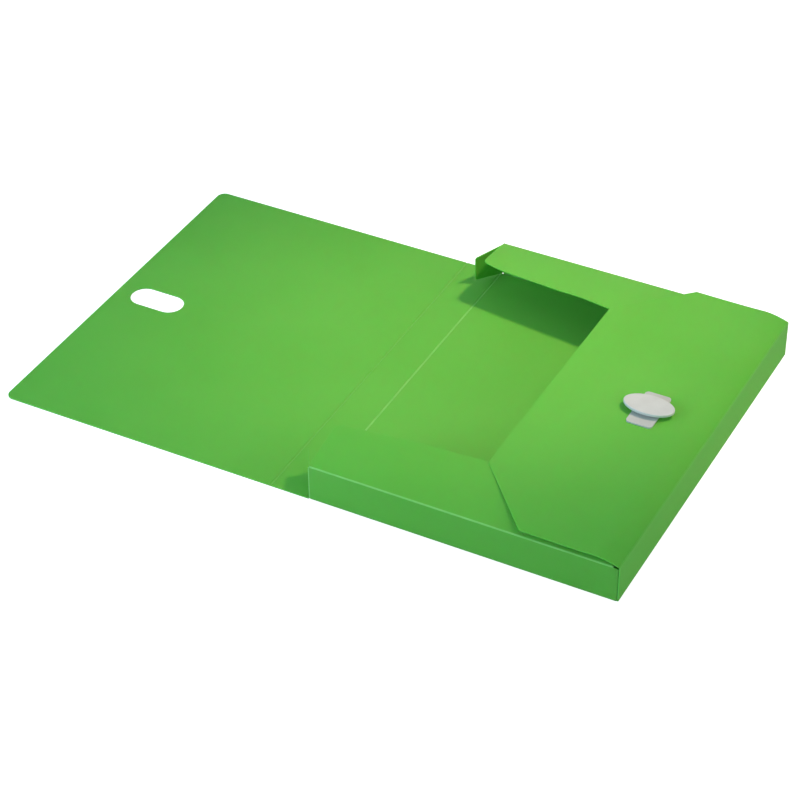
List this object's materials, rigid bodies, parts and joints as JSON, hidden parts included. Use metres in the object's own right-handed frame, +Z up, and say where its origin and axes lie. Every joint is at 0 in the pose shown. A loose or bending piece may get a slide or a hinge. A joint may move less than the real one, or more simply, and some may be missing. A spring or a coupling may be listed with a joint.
{
  "type": "box file",
  "caption": "Open A4 box file: folding cover and spine, tray with side and closure flaps, and a turn knob that locks through a slot.",
  "frame": {"origin": "middle of the open file's box, on the surface it lies on", "axes": "+X from the cover to the fore wall, +Y to the far side wall, +Z up"},
  "size_m": [0.5224, 0.33, 0.0461],
  "materials": {
    "green_sheet": "satin polypropylene sheet with a fine grain",
    "green_crease": "pressed crease, slightly lighter and smoother",
    "grey_plastic": "satin moulded light grey plastic"
  },
  "bodies": {
    "tray": {"base_panel": "green_sheet", "spine_crease": "green_crease", "near_wall_crease": "green_crease", "far_wall_crease": "green_crease", "fore_wall_crease": "green_crease"},
    "spine": {"spine_panel": "green_sheet", "cover_crease": "green_crease"},
    "cover": {"cover_panel": "green_sheet"},
    "fore_wall": {"fore_wall": "green_sheet", "closure_crease": "green_crease"},
    "closure_flap": {"closure_flap": "green_sheet", "knob_plate": "grey_plastic"},
    "knob": {"knob": "grey_plastic", "knob_washer": "grey_plastic"},
    "near_wall": {"near_wall": "green_sheet", "near_flap_crease": "green_crease", "near_spine_tab_crease": "green_crease", "near_dust_tab_crease": "green_crease"},
    "near_flap": {"near_flap": "green_sheet"},
    "near_spine_tab": {"near_spine_tab": "green_sheet"},
    "near_dust_tab": {"near_dust_tab": "green_sheet"},
    "far_wall": {"far_wall": "green_sheet", "far_flap_crease": "green_crease", "far_spine_tab_crease": "green_crease", "far_dust_tab_crease": "green_crease"},
    "far_flap": {"far_flap": "green_sheet"},
    "far_spine_tab": {"far_spine_tab": "green_sheet"},
    "far_dust_tab": {"far_dust_tab": "green_sheet"}
  },
  "joints": [
    {"name": "spine_fold", "type": "hinge", "parent": "tray", "child": "spine", "pos_m": [0.01025, 0, 0.0002], "axis": [0, 1, 0], "range_deg": [0, 90], "deforming": ["spine_crease"]},
    {"name": "cover_fold", "type": "hinge", "parent": "spine", "child": "cover", "pos_m": [-0.02175, 0, 0.0002], "axis": [0, 1, 0], "range_deg": [0, 87.8], "deforming": ["cover_crease"]},
    {"name": "fore_wall_fold", "type": "hinge", "parent": "tray", "child": "fore_wall", "pos_m": [0.26105, 0, 0.0002], "axis": [0, -1, 0], "range_deg": [-80, 0], "deforming": ["fore_wall_crease"]},
    {"name": "closure_fold", "type": "hinge", "parent": "fore_wall", "child": "closure_flap", "pos_m": [0.26105, 0, 0.032], "axis": [0, -1, 0], "range_deg": [-80, 3.2], "deforming": ["closure_crease"]},
    {"name": "near_wall_fold", "type": "hinge", "parent": "tray", "child": "near_wall", "pos_m": [0, -0.1648, 0.0002], "axis": [-1, 0, 0], "range_deg": [-80, 0], "deforming": ["near_wall_crease"]},
    {"name": "near_flap_fold", "type": "hinge", "parent": "near_wall", "child": "near_flap", "pos_m": [0, -0.1648, 0.031], "axis": [-1, 0, 0], "range_deg": [-80, 3.2], "deforming": ["near_flap_crease"]},
    {"name": "near_spine_tab_fold", "type": "hinge", "parent": "near_wall", "child": "near_spine_tab", "pos_m": [0.01165, -0.1648, 0], "axis": [0, 0, -1], "range_deg": [0, 43.2], "deforming": ["near_spine_tab_crease"]},
    {"name": "near_dust_tab_fold", "type": "hinge", "parent": "near_wall", "child": "near_dust_tab", "pos_m": [0.25995, -0.1648, 0], "axis": [0, 0, 1], "range_deg": [0, 12], "deforming": ["near_dust_tab_crease"]},
    {"name": "far_wall_fold", "type": "hinge", "parent": "tray", "child": "far_wall", "pos_m": [0, 0.1648, 0.0002], "axis": [1, 0, 0], "range_deg": [-80, 0], "deforming": ["far_wall_crease"]},
    {"name": "far_flap_fold", "type": "hinge", "parent": "far_wall", "child": "far_flap", "pos_m": [0, 0.1648, 0.031], "axis": [1, 0, 0], "range_deg": [-80, 3.2], "deforming": ["far_flap_crease"]},
    {"name": "far_spine_tab_fold", "type": "hinge", "parent": "far_wall", "child": "far_spine_tab", "pos_m": [0.01165, 0.1648, 0], "axis": [0, 0, 1], "range_deg": [0, 43.2], "deforming": ["far_spine_tab_crease"]},
    {"name": "far_dust_tab_fold", "type": "hinge", "parent": "far_wall", "child": "far_dust_tab", "pos_m": [0.25995, 0.1648, 0], "axis": [0, 0, -1], "range_deg": [0, 12], "deforming": ["far_dust_tab_crease"]},
    {"name": "knob_turn", "type": "hinge", "parent": "closure_flap", "child": "knob", "pos_m": [0.21175, 0, 0], "axis": [0, 0, 1], "range_deg": [0, 90]}
  ],
  "couplings": [
    {"joint": "near_wall_fold", "follows": "fore_wall_fold", "ratio": 1},
    {"joint": "near_flap_fold", "follows": "closure_fold", "ratio": 1},
    {"joint": "near_spine_tab_fold", "follows": "spine_fold", "ratio": 0.48},
    {"joint": "far_wall_fold", "follows": "fore_wall_fold", "ratio": 1},
    {"joint": "far_flap_fold", "follows": "closure_fold", "ratio": 1},
    {"joint": "far_spine_tab_fold", "follows": "spine_fold", "ratio": 0.48}
  ]
}
